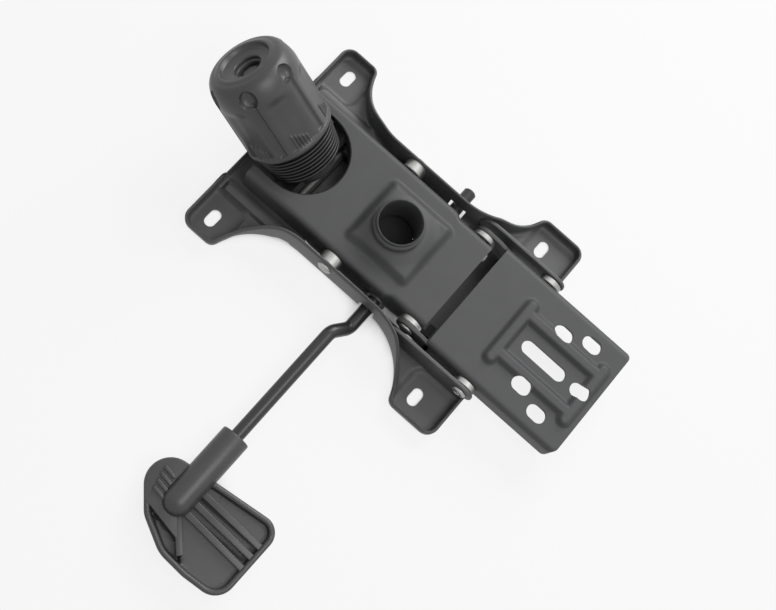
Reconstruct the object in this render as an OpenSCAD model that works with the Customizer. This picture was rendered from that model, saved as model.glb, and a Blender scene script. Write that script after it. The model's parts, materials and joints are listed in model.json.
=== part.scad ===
// Office chair tilt mechanism, stored as photographed: underside up.
// X points to the lever side, Y to the back rest and Z out of the gas lift socket.
// The origin is the centre of the socket's mouth, and sizes are in millimetres.

/* [Seat plate] */
// Height of the pads' upper face below the socket mouth
pad_z = -45; // [-60:0.5:-35]
// Sheet thickness of the seat plate
seat_t = 2; // [1.5:0.1:4]
// Half width across the corner pads
seat_half_w = 83; // [70:0.5:110]
// Front edge position
seat_front_y = -108; // [-130:1:-100]
// Rear edge position
seat_rear_y = 104; // [100:1:130]
// Height of the rim round the pads
rim_h = 11; // [5:0.5:16]
// Corner radius of the pads
pad_corner_r = 8; // [4:0.5:14]
// Distance between seat screws across
seat_bolt_x = 134; // [120:1:180]
// Distance between seat screws lengthwise
seat_bolt_y = 174; // [150:1:220]
// Middle of the seat screws lengthwise
seat_bolt_mid_y = -7; // [-20:1:20]
// Width of the seat slots
seat_slot_w = 8; // [6:0.5:10]
// Overall length of the seat slots
seat_slot_l = 13; // [10:0.5:20]
// Height of the side flanges' edge below the socket mouth
flange_top_z = -17; // [-20:0.5:-12]
// Step of the rear ears outside the waist
ear_out = 2; // [1:0.1:3]

/* [Housing] */
// Level of the housing's outer face
housing_z = -18; // [-24:0.5:-14]
// Sheet thickness of the housing
housing_t = 2.5; // [2:0.1:4]
// Half width of the front part
housing_half_w = 38; // [32:0.5:42]
// Draw-in of the narrowed rear part on each side
joggle_in = 2.5; // [1.5:0.1:4]
// Front end of the housing
housing_front_y = -94; // [-100:1:-90]
// Rear end of the housing
housing_rear_y = 54; // [50:1:58]
// Start of the narrowed rear part
joggle_y = 26; // [24:1:30]
// Lower edge of the housing sides
housing_low_z = -44.5; // [-44.7:0.1:-42]
// Middle of the knob opening
knob_hole_y = -77; // [-82:1:-70]
// Radius of the knob opening
knob_hole_r = 29.8; // [29.6:0.1:32]

/* [Gas lift socket] */
// Radius of the socket's round land
socket_r = 14; // [12:0.1:16]
// Length of the round land from the mouth
socket_land = 12; // [8:1:20]
// Wall of the socket sleeve
sleeve_t = 2; // [1.5:0.1:4]
// Length of the sleeve
sleeve_l = 30; // [25:0.5:30]
// Half size of the boss at its foot
boss_half = 28; // [24:0.5:32]
// Half size of the boss at its top
boss_top_half = 20; // [18:0.5:24]
// Height of the boss
boss_h = 8; // [6:0.5:14]
// Middle of the boss lengthwise
boss_y = 1; // [0:0.5:6]

/* [Back bracket] */
// Level of the bracket's outer face
bracket_z = -18; // [-20:0.5:-14]
// Sheet thickness of the bracket
bracket_t = 3; // [2:0.1:5]
// Front edge of the bracket's top
bracket_front_y = 62; // [60:1:70]
// Rear edge of the bracket
bracket_rear_y = 167; // [140:1:190]
// Lower edge of the bracket sides
bracket_low_z = -36; // [-38:0.5:-28]
// Half spacing of the inner slots
inner_slot_x = 22.3; // [18:0.1:26]
// Lengthwise place of the inner slots
inner_slot_y = 124.5; // [110:0.5:135]
// Half spacing of the outer slots
outer_slot_x = 29.5; // [27:0.1:34]
// Lengthwise place of the outer slots
outer_slot_y = 143; // [136:0.5:150]
// Lengthwise place of the long centre slot
centre_slot_y = 125.5; // [110:0.5:135]
// Lengthwise place of the rear centre slot
rear_slot_y = 155.5; // [150:0.5:160]
// Width of the bracket slots
bracket_slot_w = 10; // [6:0.5:12]
// Overall length of the short bracket slots
bracket_slot_l = 14; // [11:0.5:18]
// Overall length of the long centre slot
centre_slot_l = 35; // [20:0.5:45]

/* [Pivots] */
// Seat plate pivot lengthwise
pivot_a_y = -18; // [-30:0.5:-10]
// Seat plate pivot level
pivot_a_z = -26; // [-30:0.5:-26]
// Bracket pivot lengthwise
pivot_b_y = 46; // [40:0.5:48]
// Bracket pivot level
pivot_b_z = -26; // [-28:0.5:-26]
// Ear pivot lengthwise
pivot_c_y = 97.5; // [90:0.5:100]
// Ear pivot level
pivot_c_z = -27; // [-30:0.5:-22]
// Rivet shank radius
rivet_r = 4; // [3:0.1:5]
// Rivet head radius
rivet_head_r = 5.2; // [4.6:0.1:7]
// Rivet head height
rivet_head_h = 1.8; // [1:0.1:2]
// Radius of the rivets' inner ends
rivet_tail_r = 5; // [4.5:0.1:5]
// Height of the rivets' inner ends
rivet_tail_h = 2; // [1:0.1:3]
// Length of the spacers at the seat plate pivot
spacer_l = 7.2; // [5:0.1:9]
// Thickness of the washers at the ear pivot
ear_washer_t = 4.2; // [3:0.1:5]
// Radius of the spacers at the seat plate pivot
spacer_r = 7.4; // [6:0.1:7.6]
// Radius of the washers at the other pivots
washer_r = 8; // [6:0.1:8.2]
// Clearance of a turning hole on its rivet
turn_gap = 0.08; // [0.04:0.01:0.1]
// Clearance of the ear hole on its rivet
ear_gap = 0.4; // [0.2:0.05:1]
// Run of the ear hole towards the front
ear_slide = 1.5; // [1.3:0.1:3]
// Gap between plain faces that pass each other
face_gap = 0.3; // [0.1:0.05:0.6]

/* [Tension knob] */
// Lean of the knob's axis towards the front
knob_lean = 45; // [35:1:50]
// Lengthwise place of the axis zero point
knob_y = -81.3; // [-85:0.1:-78]
// Level of the axis zero point
knob_z = -20.6; // [-24:0.1:-18]
// Radius of the knob at its foot
knob_r = 29.3; // [26:0.1:29.5]
// Radius of the knob at its shoulder
knob_shoulder_r = 28.7; // [24:0.1:29]
// Radius of the knob's top edge
knob_top_r = 20; // [18:0.1:24]
// Start of the knob along its axis
knob_low = 13.8; // [12:0.1:18]
// End of the knob along its axis
knob_high = 73.4; // [65:0.1:80]
// Radius of the dished top
knob_dish_r = 17; // [14:0.1:19]
// Radius of the hole in the knob's top
knob_hole_top_r = 8; // [6:0.1:10]
// Radius of the space for the spring
knob_bore_r = 18; // [17:0.1:22]
// Radius of the recess in the knob's foot
knob_skirt_r = 26.6; // [24:0.1:27]
// Depth of the recess in the knob's foot
knob_skirt_h = 4.6; // [3:0.1:8]
// Radius of the dimples
dimple_r = 4.5; // [3:0.1:6]
// Number of dimples round the shoulder
dimples = 6; // [4:1:8]
// Radius of the tension bolt
bolt_r = 5; // [4:0.1:6]
// Level of the thrust washer along the axis
washer_u = 44; // [40:0.5:50]
// Thickness of the thrust washer
washer_t = 3; // [2:0.1:4]
// Height of the tension nut
nut_h = 8; // [6:0.5:12]
// Lower face of the spring along the axis
spring_low = -13; // [-15:0.5:-10]
// Mean radius of the spring
spring_r = 13; // [11:0.1:14]
// Wire radius of the spring
wire_r = 2.4; // [1.5:0.1:3]
// Turns of the spring
spring_turns = 6; // [4:1:8]
// Outer radius of the boot's top ring
boot_r = 27; // [24:0.1:28]
// Outer radius of the boot's lowest ring
boot_low_r = 24.4; // [22:0.1:26]
// Number of boot rings
boot_rings = 7; // [4:1:8]
// Start of the boot's rings along the axis
boot_low = -8; // [-10:0.5:2]

/* [Lever] */
// Lengthwise place of the rod in the housing
rod_y = 19; // [15:0.5:22]
// Level of the rod in the housing
rod_z = -37; // [-38:0.5:-36.5]
// Radius of the rod
rod_r = 4.5; // [3.5:0.1:5]
// Far end of the rod
rod_end_x = -61; // [-65:1:-52]
// Start of the crank
crank_x = 62; // [60:1:70]
// Length of the crank
crank_l = 12; // [8:1:20]
// Lengthwise offset of the outer rod
crank_dy = -7; // [-12:0.5:0]
// Level offset of the outer rod
crank_dz = 7; // [0:0.5:14]
// End of the outer rod
rod_out_x = 190; // [170:1:220]
// Start of the paddle sleeve
paddle_x = 163; // [150:1:180]
// Length of the paddle sleeve
paddle_sleeve_l = 57; // [40:1:70]
// Outer radius of the paddle sleeve
paddle_sleeve_r = 9.7; // [7:0.1:12]
// Thickness of the paddle blade
blade_t = 3; // [2:0.1:5]
// Height of the paddle's rim
blade_rim_h = 6; // [4:0.5:10]
// Travel of the rod along its axis
pull_travel = 6; // [4:0.5:10]

/* [Hidden] */
$fn = 48;
steel = [0.24, 0.25, 0.26];
black = [0.12, 0.12, 0.13];
zinc = [0.72, 0.72, 0.7];
eps = 0.02;
seat_low_z = pad_z - seat_t;
ear_t = 2.5;
housing_rear_half_w = housing_half_w - joggle_in;
waist_half_w = housing_half_w + face_gap + spacer_l + seat_t;
ear_in = waist_half_w + ear_out - ear_t;
ear_side = ear_in + ear_t;
bracket_half_w = ear_in - face_gap - ear_washer_t;
flange_in = waist_half_w - seat_t;
ear_r = 9;
open_gap = 2;
open_half_w = housing_half_w + open_gap;
open_front_y = -42;
open_rear_y = 56;
rear_cut_y = 62;
front_rim_h = 3;
front_notch_half_w = housing_half_w - open_gap;
rear_cut_gap = 1;
rear_cut_half_w = ear_in - rear_cut_gap;
front_fillet_r = 44;
front_fillet_y = -38;
rear_fillet_r = 49;
rear_fillet_y = 21;
ear_front_y = rear_fillet_y + 15;
ear_foot_rear = 6.5;
waist_cut = 60;
flange_front_y = -52;
flange_rear_y = 46;
rod_slot_gap = 3;
rod_slot_w = 2 * (rod_r + rod_slot_gap);
rod_slot_low = seat_low_z - 1;
rod_slot_high = rod_z + rod_r + open_gap;
tab_in = bracket_half_w - bracket_t;
tab_r = 8;
bush_t = 1.5;
bush_r = rod_r + bush_t;
bush_flange_r = bush_r + 2;
bush_over = 0.5;
bush_in = housing_rear_half_w - housing_t - bush_over;
clip_t = 1.5;
clip_r = rod_r + 3;
collar_r = rod_r + 2;
finger_half_l = 12;
finger_half_w = 9;
finger_pad_half_w = 16;
finger_tip_y = -15;
finger_pad_y = 11;
finger_t = 3;
finger_up = -3;
spring_high = washer_u;
saddle_x = 20;
saddle_t = 3;
saddle_front = 8;
saddle_rear = 12;
saddle_top = 11;
saddle_nose = 1;
saddle_gap = 0.4;
saddle_run_y = 2.1;
saddle_run_z = 1.8;
tbar_over = 4;
tbar_u = -27;
tbar_r = 4.5;
slider_x = finger_half_l + 1;
slider_t = 4;
slider_half_h = 5;
slider_reach = 16;
catch_gap = 0.8;
catch_t = 2.5;
catch_wall_gap = 0.7;
catch_x = housing_rear_half_w - housing_t - catch_wall_gap - catch_t;
slider_l = catch_x - catch_gap - pull_travel - slider_x;
catch_w = 5;
catch_h = 13;
catch_y = rod_y + slider_reach - slider_t - 0.5;
catch_rear_y = rear_cut_y - 0.5;
catch_foot_l = 8.5;
spring_seat_t = 4;
spring_seat_r = 17;
spring_seat_half_w = 9;
bolt_gap = 2;
boot_cap = 2;
boot_pitch = (knob_low - boot_cap - boot_low) / boot_rings;
boot_groove = 1.8;
ring_share = 0.55;
boot_foot_r = 19;
boot_bore_r = 17.4;
nut_r = 9.8;
nut_wall = 0.7;
shoulder_drop = 14;
dish_depth = 5;
dimple_at = 45;
dimple_in = 0.4;
dimple_up = 0.9;
shoulder_in = 2.5;
dish_in = 1.5;
seam = 0.5;
outer_rod_y = rod_y + crank_dy;
outer_rod_z = rod_z + crank_dz;
paddle_bore_r = rod_r;
knuckle = 0.15;
paddle_end_x = paddle_x + paddle_sleeve_l;
blade_discs = [[-10, -10.5, 15.8], [-1, 0, 16], [2, 18, 22.3], [11, 45, 13.5], [-22, 48, 11]];
blade_rim_t = 2.4;
blade_rib_w = 3.4;
blade_rib_l = 51;
blade_rib_pitch = 7.5;
blade_rib_in = 4;
blade_drop = 5;
blade_low_z = outer_rod_z - blade_drop;
blade_rib_back = 10.5;
blade_rib_x = paddle_end_x - blade_rib_back - blade_rib_w / 2;
rib_h = 2.6;
rib_sink = 1;
rib_in_x = 10.2;
rib_out_x = 21.8;
front_bar_y = 97.5;
front_bar_half = 27.6;
rear_bar_y = 158.6;
rear_bar_half = 26.6;
bar_half_w = 6;
tab_over = 4;
bore_reach = 60;
hole_reach = 10;
wall_step_y = -36;
wall_step_l = 6;
wall_rise_y = 30;
wall_rise = 9;
wall_front_rise = 4;
housing_front_low_z = housing_low_z + wall_front_rise;
slot_run = seat_slot_l - seat_slot_w;
bracket_run = bracket_slot_l - bracket_slot_w;
centre_run = centre_slot_l - bracket_slot_w;

// Place something along the knob's leaning axis
module on_knob_axis() {
    translate([0, knob_y, knob_z]) rotate([knob_lean, 0, 0]) children();
}

// Repeat something on both sides
module both_sides() {
    children();
    mirror([1, 0, 0]) children();
}

// Cylinder along X from one place to another
module x_rod(x0, x1, r, y, z) {
    translate([x0, y, z]) rotate([0, 90, 0]) cylinder(r = r, h = x1 - x0);
}

// Slot along X through a flat sheet
module x_slot(run, width, z0, z1) {
    translate([-run / 2, 0, z0]) cylinder(d = width, h = z1 - z0);
    translate([run / 2, 0, z0]) cylinder(d = width, h = z1 - z0);
    translate([-run / 2, -width / 2, z0]) cube([run, width, z1 - z0]);
}

// Rounded rectangle from corner to corner
module rounded_rect(x0, y0, x1, y1, r) {
    translate([x0 + r, y0]) square([x1 - x0 - 2 * r, y1 - y0]);
    translate([x0, y0 + r]) square([x1 - x0, y1 - y0 - 2 * r]);
    for (x = [x0 + r, x1 - r]) for (y = [y0 + r, y1 - r]) translate([x, y]) circle(r = r);
}

// Outline of the seat plate, drawn in by t
module seat_outline(t) {
    w = waist_half_w - t;
    difference() {
        rounded_rect(t - seat_half_w, seat_front_y + t, seat_half_w - t, seat_rear_y - t, pad_corner_r - t);
        both_sides() {
            translate([waist_half_w + front_fillet_r, front_fillet_y]) circle(r = front_fillet_r + t);
            translate([waist_half_w + rear_fillet_r, rear_fillet_y]) circle(r = rear_fillet_r + t);
            translate([w, front_fillet_y]) square([waist_cut, rear_fillet_y - front_fillet_y]);
        }
    }
}

// Stamped plate that the seat is screwed to, with rim, side flanges and rear ears
module seat_plate() {
    color(steel) difference() {
        union() {
            translate([0, 0, seat_low_z]) linear_extrude(seat_t) seat_outline(0);
            translate([0, 0, seat_low_z]) linear_extrude(rim_h) difference() {
                seat_outline(0);
                seat_outline(seat_t);
            }
            intersection() {
                translate([0, 0, seat_low_z]) linear_extrude(flange_top_z - seat_low_z) difference() {
                    seat_outline(0);
                    seat_outline(seat_t);
                }
                translate([-waist_cut, flange_front_y, seat_low_z])
                    cube([2 * waist_cut, flange_rear_y - flange_front_y, flange_top_z - seat_low_z]);
            }
            both_sides() seat_ear();
        }
        translate([-open_half_w, open_front_y, seat_low_z - 1])
            cube([2 * open_half_w, open_rear_y - open_front_y, seat_t + 2]);
        translate([-rear_cut_half_w, rear_cut_y, seat_low_z - 1])
            cube([2 * rear_cut_half_w, seat_rear_y - rear_cut_y + 1, rim_h + 2]);
        translate([-front_notch_half_w, seat_front_y - 1, pad_z + front_rim_h])
            cube([2 * front_notch_half_w, seat_t + 2, rim_h]);
        for (sx = [-1, 1]) for (sy = [-1, 1])
            translate([sx * seat_bolt_x / 2, seat_bolt_mid_y + sy * seat_bolt_y / 2, 0])
                x_slot(slot_run, seat_slot_w, seat_low_z - 1, pad_z + 1);
        both_sides() {
            x_rod(flange_in - 1, waist_half_w + 1, rivet_r, pivot_a_y, pivot_a_z);
            ear_slot();
            translate([open_half_w - 1, rod_y - rod_slot_w / 2, rod_slot_low])
                cube([waist_half_w - open_half_w + 2, rod_slot_w, rod_slot_high - rod_slot_low]);
        }
    }
}

// Slotted hole in the ear, which lets its rivet run forwards as both tilt
module ear_slot() {
    r = rivet_r + ear_gap;
    for (y = [pivot_c_y - ear_slide, pivot_c_y]) x_rod(ear_in - 1, ear_side + 1, r, y, pivot_c_z);
    translate([ear_in - 1, pivot_c_y - ear_slide, pivot_c_z - r]) cube([ear_t + 2, ear_slide, 2 * r]);
}

// Upright rear ear of the seat plate on one side
module seat_ear() {
    x_rod(ear_in, ear_side, ear_r, pivot_c_y, pivot_c_z);
    translate([ear_in, ear_front_y, seat_low_z])
        cube([ear_t, pivot_c_y - ear_front_y, pivot_c_z + ear_r - seat_low_z]);
    translate([ear_in, pivot_c_y - ear_r, seat_low_z])
        cube([ear_t, ear_r + ear_foot_rear, pivot_c_z - seat_low_z]);
}

// One stamped side wall of the housing, with its outline in the YZ plane
module housing_wall(x_in, x_out, y0, y1) {
    intersection() {
        translate([x_in, 0, 0]) rotate([90, 0, 90]) linear_extrude(x_out - x_in)
            polygon([[housing_front_y, housing_z], [housing_rear_y, housing_z],
                [housing_rear_y, housing_low_z + wall_rise], [wall_rise_y, housing_low_z],
                [wall_step_y, housing_low_z], [wall_step_y - wall_step_l, housing_front_low_z],
                [housing_front_y, housing_front_low_z]]);
        translate([x_in, y0, housing_low_z]) cube([x_out - x_in, y1 - y0, housing_z - housing_low_z]);
    }
}

// Raised square boss, hollow below
module boss_shell(inset) {
    translate([0, boss_y, housing_z - housing_t]) rotate([0, 0, 45])
        cylinder(r1 = (boss_half - inset) * sqrt(2), r2 = (boss_top_half - inset) * sqrt(2),
            h = boss_h + housing_t - inset, $fn = 4);
}

// Stamped channel fixed to the gas lift
module housing() {
    inner_w = housing_half_w - housing_t;
    rear_in = housing_rear_half_w - housing_t;
    color(steel) difference() {
        union() {
            translate([-housing_half_w, housing_front_y, housing_z - housing_t])
                cube([2 * housing_half_w, joggle_y - housing_front_y, housing_t]);
            translate([-housing_rear_half_w, joggle_y - 1, housing_z - housing_t])
                cube([2 * housing_rear_half_w, housing_rear_y - joggle_y + 1, housing_t]);
            both_sides() {
                housing_wall(inner_w, housing_half_w, housing_front_y, joggle_y);
                housing_wall(rear_in, housing_rear_half_w, joggle_y - housing_t, housing_rear_y);
                translate([rear_in, joggle_y - housing_t, housing_low_z])
                    cube([housing_half_w - rear_in, housing_t, housing_z - housing_low_z]);
            }
            both_sides() translate([knob_hole_r, housing_front_y, housing_front_low_z])
                cube([housing_half_w - knob_hole_r, housing_t, housing_z - housing_front_low_z]);
            boss_shell(0);
        }
        translate([0, 0, -eps]) boss_shell(housing_t);
        translate([0, 0, -bore_reach]) cylinder(r = socket_r + sleeve_t, h = 2 * bore_reach);
        translate([0, knob_hole_y, housing_z - hole_reach]) cylinder(r = knob_hole_r, h = 2 * hole_reach);
        translate([-knob_hole_r, housing_front_y - 1, housing_z - hole_reach])
            cube([2 * knob_hole_r, knob_hole_y - housing_front_y + 1, 2 * hole_reach]);
        both_sides() {
            x_rod(rear_in - 2, waist_half_w, rivet_r + turn_gap, pivot_a_y, pivot_a_z);
            x_rod(rear_in - 2, waist_half_w, rivet_r + turn_gap, pivot_b_y, pivot_b_z);
            x_rod(rear_in - 2, waist_half_w, bush_r, rod_y, rod_z);
        }
    }
}

// Tube for the gas lift, round at the mouth and slightly tapered deeper
module socket_sleeve() {
    color(steel) translate([0, 0, -sleeve_l]) difference() {
        cylinder(r = socket_r + sleeve_t, h = sleeve_l);
        translate([0, 0, sleeve_l - socket_land]) cylinder(r = socket_r, h = socket_land + 1);
        translate([0, 0, -eps])
            cylinder(r1 = socket_r - 0.5, r2 = socket_r, h = sleeve_l - socket_land + 2 * eps);
    }
}

// Slot along Y through the bracket
module y_slot(x, y, run) {
    translate([x, y, 0]) rotate([0, 0, 90]) x_slot(run, bracket_slot_w, bracket_z - 12, bracket_z + 12);
}

// Stamped channel that carries the back rest, with raised ribs and front tabs
module back_bracket() {
    color(steel) difference() {
        union() {
            translate([-bracket_half_w, bracket_front_y, bracket_z - bracket_t])
                cube([2 * bracket_half_w, bracket_rear_y - bracket_front_y, bracket_t]);
            both_sides() {
                translate([tab_in, bracket_front_y, bracket_low_z])
                    cube([bracket_t, bracket_rear_y - bracket_front_y, bracket_z - bracket_low_z]);
                bracket_tab();
            }
            translate([0, 0, bracket_z - rib_sink]) linear_extrude(rib_h + rib_sink) {
                both_sides() translate([rib_in_x, front_bar_y])
                    square([rib_out_x - rib_in_x, rear_bar_y - front_bar_y]);
                rib_bar(front_bar_y, front_bar_half);
                rib_bar(rear_bar_y, rear_bar_half);
            }
        }
        both_sides() {
            x_rod(tab_in - 1, waist_half_w, rivet_r, pivot_b_y, pivot_b_z);
            x_rod(tab_in - 1, waist_half_w, rivet_r, pivot_c_y, pivot_c_z);
            y_slot(inner_slot_x, inner_slot_y, bracket_run);
            y_slot(outer_slot_x, outer_slot_y, bracket_run);
        }
        y_slot(0, centre_slot_y, centre_run);
        y_slot(0, rear_slot_y, bracket_run);
    }
}

// Outline of one raised cross bar on the bracket
module rib_bar(y, half) {
    rounded_rect(-half, y - bar_half_w, half, y + bar_half_w, bar_half_w - eps);
}

// Front tab that carries one side of the bracket forwards to its pivot
module bracket_tab() {
    x_rod(tab_in, bracket_half_w, tab_r, pivot_b_y, pivot_b_z);
    translate([tab_in, pivot_b_y, pivot_b_z - tab_r])
        cube([bracket_t, bracket_front_y + tab_over - pivot_b_y, bracket_z - pivot_b_z + tab_r]);
}

// Leaning cross plate inside the housing that the spring stands on
module spring_seat() {
    inner_w = housing_half_w - housing_t;
    color(steel) on_knob_axis() translate([0, 0, spring_low - spring_seat_t]) difference() {
        union() {
            cylinder(r = spring_seat_r, h = spring_seat_t);
            translate([-inner_w, -spring_seat_half_w, 0])
                cube([2 * inner_w, 2 * spring_seat_half_w, spring_seat_t]);
        }
        translate([0, 0, -1]) cylinder(r = bolt_r + bolt_gap, h = spring_seat_t + 2);
    }
}

// Bolt with a cross bar that pulls on the seat plate
module tension_bolt() {
    color(zinc) on_knob_axis() {
        translate([0, 0, tbar_u]) cylinder(r = bolt_r, h = knob_high - 9 - tbar_u);
        translate([-saddle_x - saddle_t - tbar_over, 0, tbar_u]) rotate([0, 90, 0])
            cylinder(r = tbar_r, h = 2 * (saddle_x + saddle_t + tbar_over));
    }
}

// Two upright ears on the seat plate that hold the bolt's cross bar
module bolt_saddle() {
    c = cos(knob_lean);
    s = sin(knob_lean);
    bar_y = knob_y - tbar_u * s;
    bar_z = knob_z + tbar_u * c;
    color(steel) both_sides() difference() {
        translate([saddle_x, 0, 0]) rotate([90, 0, 90]) linear_extrude(saddle_t)
            polygon([[bar_y - saddle_front, pad_z], [bar_y - saddle_front, bar_z + saddle_nose],
                [bar_y - saddle_front + saddle_top - saddle_nose, bar_z + saddle_top],
                [bar_y + saddle_rear, bar_z + saddle_top], [bar_y + saddle_rear, pad_z]]);
        for (k = [0:3]) x_rod(saddle_x - 1, saddle_x + saddle_t + 1, tbar_r + saddle_gap,
            bar_y + k * saddle_run_y / 3, bar_z + k * saddle_run_z / 3);
    }
}

// Points of one ring of the spring's wire
function wire_ring(k, n, h) = let(a = 360 * spring_turns * k / n, z = spring_low + wire_r + h * k / n)
    [for (j = [0:5]) [(spring_r + wire_r * cos(60 * j)) * cos(a),
        (spring_r + wire_r * cos(60 * j)) * sin(a), z + wire_r * sin(60 * j)]];

// Compression spring in the knob
module tension_spring() {
    n = 8 * spring_turns;
    h = spring_high - spring_low - 2 * wire_r;
    gap = h / spring_turns - 2 * wire_r;
    echo("least gap between the spring's turns", gap);
    pts = [for (k = [0:n]) for (p = wire_ring(k, n, h)) p];
    sides = [for (k = [0:n - 1]) for (j = [0:5])
        let(a = 6 * k + j, b = 6 * k + (j + 1) % 6) each [[a, b, b + 6], [a, b + 6, a + 6]]];
    caps = [[5, 4, 3, 2, 1, 0], [for (j = [0:5]) 6 * n + j]];
    color(zinc) on_knob_axis() polyhedron(points = pts, faces = concat(sides, caps));
}

// Ringed boot round the spring
module spring_boot() {
    grow = (boot_r - boot_low_r) / (boot_rings - 1);
    color(black) on_knob_axis() difference() {
        union() {
            for (k = [0:boot_rings - 1]) translate([0, 0, boot_low + k * boot_pitch]) {
                cylinder(r = boot_low_r + grow * k, h = boot_pitch * ring_share);
                cylinder(r = boot_low_r + grow * k - boot_groove, h = boot_pitch + eps);
            }
            translate([0, 0, knob_low - boot_cap - eps])
                cylinder(r = boot_r - boot_groove, h = boot_cap);
            translate([0, 0, spring_low])
                cylinder(r1 = boot_foot_r, r2 = boot_low_r - boot_groove, h = boot_low - spring_low + eps);
        }
        translate([0, 0, spring_low - 1]) cylinder(r = boot_bore_r, h = knob_low - spring_low + 2);
    }
}

// Washer that the spring presses on
module thrust_washer() {
    color(zinc) on_knob_axis() translate([0, 0, washer_u]) difference() {
        cylinder(r = knob_bore_r - 1, h = washer_t);
        translate([0, 0, -1]) cylinder(r = bolt_r + 0.3, h = washer_t + 2);
    }
}

// Hexagon nut held in the knob
module tension_nut() {
    color(zinc) on_knob_axis() translate([0, 0, washer_u + washer_t]) difference() {
        cylinder(r = nut_r, h = nut_h, $fn = 6);
        translate([0, 0, -1]) cylinder(r = bolt_r + turn_gap, h = nut_h + 2);
    }
}

// Plastic knob that sets the tilt tension
module tension_knob() {
    top = knob_high;
    shoulder = knob_high - shoulder_drop;
    skirt_top = knob_low + knob_skirt_h;
    nut_low = washer_u + washer_t;
    nut_top = nut_low + nut_h;
    pocket_r = nut_r + nut_wall;
    color(black) on_knob_axis() difference() {
        rotate_extrude() polygon([[knob_bore_r, skirt_top], [knob_skirt_r, skirt_top],
            [knob_skirt_r, knob_low], [knob_r, knob_low], [knob_shoulder_r, shoulder],
            [knob_shoulder_r - shoulder_in, top - dish_depth], [knob_top_r, top],
            [knob_dish_r, top], [knob_dish_r - dish_in, top - dish_depth],
            [knob_hole_top_r, top - dish_depth],
            [knob_hole_top_r, nut_top], [pocket_r - seam, nut_top], [pocket_r - seam, nut_low],
            [knob_bore_r, nut_low]]);
        for (k = [0:dimples - 1]) rotate([0, 0, 360 * k / dimples + dimple_at])
            translate([knob_shoulder_r - dimple_in, 0, shoulder + dimple_r + dimple_up])
                sphere(r = dimple_r);
    }
    color(black) on_knob_axis() translate([0, 0, nut_low]) difference() {
        cylinder(r = pocket_r, h = nut_h);
        translate([0, 0, -1]) cylinder(r = nut_r, h = nut_h + 2, $fn = 6);
    }
}

// Cranked steel rod of the lever
module lever_rod() {
    color(black) {
        x_rod(rod_end_x, crank_x, rod_r, rod_y, rod_z);
        translate([crank_x, rod_y, rod_z]) sphere(r = rod_r + knuckle);
        crank_reach = norm([crank_l, crank_dy, crank_dz]);
        translate([crank_x, rod_y, rod_z])
            rotate([0, acos(crank_dz / crank_reach), atan2(crank_dy, crank_l)])
                cylinder(r = rod_r, h = crank_reach);
        translate([crank_x + crank_l, outer_rod_y, outer_rod_z]) sphere(r = rod_r + knuckle);
        x_rod(crank_x + crank_l, rod_out_x, rod_r, outer_rod_y, outer_rod_z);
    }
}

// Outline of the paddle's blade
module blade_outline(t) {
    hull() for (d = blade_discs)
        translate([paddle_end_x + d[0], outer_rod_y + d[1]]) circle(r = d[2] - t, $fn = 32);
}

// Plastic handle pressed on the rod
module lever_paddle() {
    color(black) difference() {
        union() {
            x_rod(paddle_x, paddle_end_x, paddle_sleeve_r, outer_rod_y, outer_rod_z);
            translate([paddle_end_x, outer_rod_y, outer_rod_z]) sphere(r = paddle_sleeve_r);
            translate([0, 0, blade_low_z]) linear_extrude(blade_t) blade_outline(0);
            translate([0, 0, blade_low_z]) linear_extrude(blade_rim_h) difference() {
                blade_outline(0);
                blade_outline(blade_rim_t);
            }
            for (k = [-1:1])
                translate([blade_rib_x + k * blade_rib_pitch, outer_rod_y + blade_rib_in, blade_low_z + 1])
                    cube([blade_rib_w, blade_rib_l, blade_rim_h - 2]);
        }
        x_rod(paddle_x - 1, rod_out_x, paddle_bore_r, outer_rod_y, outer_rod_z);
    }
}

// Plastic bushes that guide the rod in the housing sides
module rod_bushes() {
    color(black) both_sides() difference() {
        union() {
            x_rod(bush_in, housing_half_w + bush_t, bush_r, rod_y, rod_z);
            x_rod(housing_half_w, housing_half_w + bush_t, bush_flange_r, rod_y, rod_z);
        }
        x_rod(bush_in - 1, housing_half_w + bush_t + 1, rod_r + turn_gap, rod_y, rod_z);
    }
}

// Finger on the rod that presses the gas lift's button
module release_finger() {
    color(steel) difference() {
        union() {
            x_rod(-finger_half_l, finger_half_l, collar_r, rod_y, rod_z);
            translate([-finger_half_w, finger_tip_y, rod_z + finger_up])
                cube([2 * finger_half_w, rod_y - finger_tip_y, finger_t]);
            translate([-finger_pad_half_w, finger_tip_y, rod_z + finger_up])
                cube([2 * finger_pad_half_w, finger_pad_y - finger_tip_y, finger_t]);
        }
        x_rod(-finger_half_l - 1, finger_half_l + 1, rod_r, rod_y, rod_z);
    }
}

// Clip that keeps the rod in the housing
module rod_clip() {
    x0 = face_gap - bush_in;
    color(zinc) difference() {
        x_rod(x0, x0 + clip_t, clip_r, rod_y, rod_z);
        x_rod(x0 - 1, x0 + clip_t + 1, rod_r, rod_y, rod_z);
    }
}

// Lock piece carried along by the rod
module lock_slider() {
    color(steel) difference() {
        union() {
            x_rod(slider_x, slider_x + slider_t, collar_r, rod_y, rod_z);
            translate([slider_x, rod_y, rod_z - slider_half_h])
                cube([slider_t, slider_reach, 2 * slider_half_h]);
            translate([slider_x, rod_y + slider_reach - slider_t, rod_z - slider_half_h])
                cube([slider_l, slider_t, 2 * slider_half_h]);
        }
        x_rod(slider_x - 1, slider_x + slider_t + 1, rod_r + turn_gap, rod_y, rod_z);
    }
}

// Bent catch on the seat plate that the lock piece meets
module lock_catch() {
    color(steel) {
        translate([catch_x + catch_t - catch_foot_l, catch_rear_y - catch_w, pad_z])
            cube([catch_foot_l, catch_w, seat_t]);
        translate([catch_x, catch_y, pad_z]) cube([catch_t, catch_rear_y - catch_y, seat_t]);
        translate([catch_x, catch_y, pad_z]) cube([catch_t, catch_w, catch_h]);
    }
}

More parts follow.
